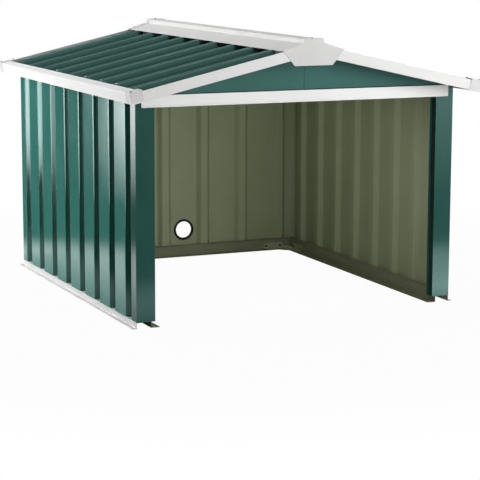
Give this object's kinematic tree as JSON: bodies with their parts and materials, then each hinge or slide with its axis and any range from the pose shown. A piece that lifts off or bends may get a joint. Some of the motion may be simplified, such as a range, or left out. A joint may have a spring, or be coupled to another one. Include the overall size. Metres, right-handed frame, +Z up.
{
  "type": "robot mower garage",
  "caption": "Low open-fronted garage for a robot lawn mower: ribbed sheet walls on base rails, a low gabled roof with white trims, and a cable hole low in the back.",
  "frame": {"origin": "on the ground, under the middle of the roof", "axes": "+X to the right seen from the open front, +Y to the back, +Z up"},
  "size_m": [0.86, 0.97, 0.628],
  "materials": {
    "rail_paint": "satin",
    "bracket_paint": "satin",
    "wall_paint": "satin",
    "post_paint": "satin",
    "frame_paint": "satin",
    "trim_paint": "satin",
    "cap_paint": "satin",
    "gable_paint": "satin",
    "roof_paint": "satin",
    "grommet_rubber": "matte"
  },
  "bodies": {
    "root": {"base_rail_left": "rail_paint", "base_rail_right": "rail_paint", "base_rail_back": "rail_paint", "corner_bracket_left": "bracket_paint", "corner_bracket_right": "bracket_paint", "side_wall_left": "wall_paint", "side_wall_right": "wall_paint", "back_wall": "wall_paint", "front_post_left": "post_paint", "front_post_right": "post_paint", "rear_corner_post_left": "post_paint", "rear_corner_post_right": "post_paint", "top_rail_left": "frame_paint", "top_rail_right": "frame_paint", "ridge_beam": "frame_paint", "front_lintel": "trim_paint", "back_lintel": "trim_paint", "eave_trim_left": "trim_paint", "eave_trim_right": "trim_paint", "verge_trim_front_left": "trim_paint", "verge_trim_front_right": "trim_paint", "verge_trim_back_left": "trim_paint", "verge_trim_back_right": "trim_paint", "ridge_cap": "trim_paint", "corner_cap_front_left": "cap_paint", "corner_cap_front_right": "cap_paint", "corner_cap_back_left": "cap_paint", "corner_cap_back_right": "cap_paint", "ridge_plate_front": "cap_paint", "ridge_plate_back": "cap_paint", "gable_front_left": "gable_paint", "gable_front_right": "gable_paint", "gable_back_left": "gable_paint", "gable_back_right": "gable_paint", "roof_sheet_left": "roof_paint", "roof_sheet_right": "roof_paint", "cable_grommet": "grommet_rubber"}
  },
  "joints": []
}
